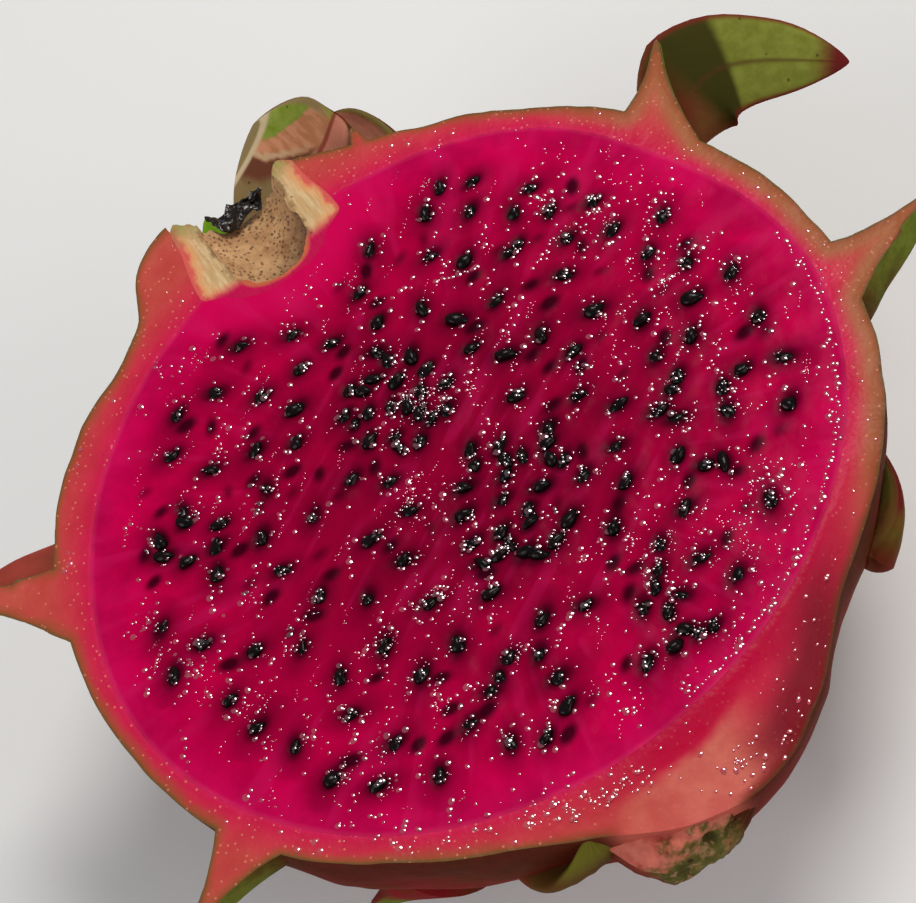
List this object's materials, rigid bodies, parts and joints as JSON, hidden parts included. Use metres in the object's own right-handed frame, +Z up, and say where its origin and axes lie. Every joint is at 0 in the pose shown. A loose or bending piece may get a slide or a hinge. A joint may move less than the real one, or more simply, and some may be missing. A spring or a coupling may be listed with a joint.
{
  "type": "halved dragon fruit",
  "caption": "Half of a red-fleshed dragon fruit, cut lengthwise, with black seeds, a leafy scaled rind and a corky flower scar.",
  "frame": {"origin": "middle of the flat spot on the round back that the fruit rests on", "axes": "+Z up through the cut face, +Y from the stem end to the flower end, +X across the fruit"},
  "size_m": [0.127, 0.1241, 0.0478],
  "materials": {
    "rind": "waxy skin, moist where cut",
    "flesh": "wet pulp",
    "scar": "dry cork",
    "remnant": "dried, slightly shiny"
  },
  "bodies": {
    "root": {"rind": "rind", "flesh": "flesh", "flower_scar": "scar", "flower_remnant": "remnant"}
  },
  "joints": []
}
